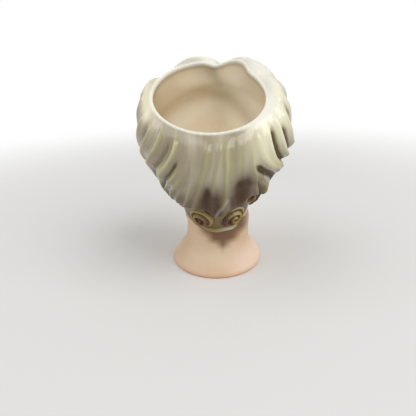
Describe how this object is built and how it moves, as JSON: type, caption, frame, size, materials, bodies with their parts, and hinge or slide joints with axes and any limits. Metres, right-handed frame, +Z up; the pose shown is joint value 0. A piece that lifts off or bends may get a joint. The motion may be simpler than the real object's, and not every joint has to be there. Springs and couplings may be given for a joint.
{
  "type": "head planter",
  "caption": "Hollow ceramic planter shaped as a lady's head: flared round foot, neck, calm face and swept-back combed hair with pin curls, open in a tilted two-lobed oval mouth.",
  "frame": {"origin": "centre of the foot ring on the table", "axes": "+Z up, the face looks along -Y, +X is the figure's own left"},
  "size_m": [0.113, 0.1067, 0.1524],
  "materials": {
    "flesh_bisque": "matte flesh-coloured ceramic",
    "hair_glaze": "glossy cream glaze with olive shading in the combed grooves",
    "curl_glaze": "glossy brown and olive glaze"
  },
  "bodies": {
    "root": {"neck_and_foot": "flesh_bisque", "head_shell": "flesh_bisque", "hair_shell": "hair_glaze", "front_wave_left": "hair_glaze", "front_wave_right": "hair_glaze", "nape_curl_left": "curl_glaze", "nape_curl_right": "curl_glaze", "side_curl_left": "curl_glaze", "side_curl_right": "curl_glaze", "nape_roll": "hair_glaze"}
  },
  "joints": []
}
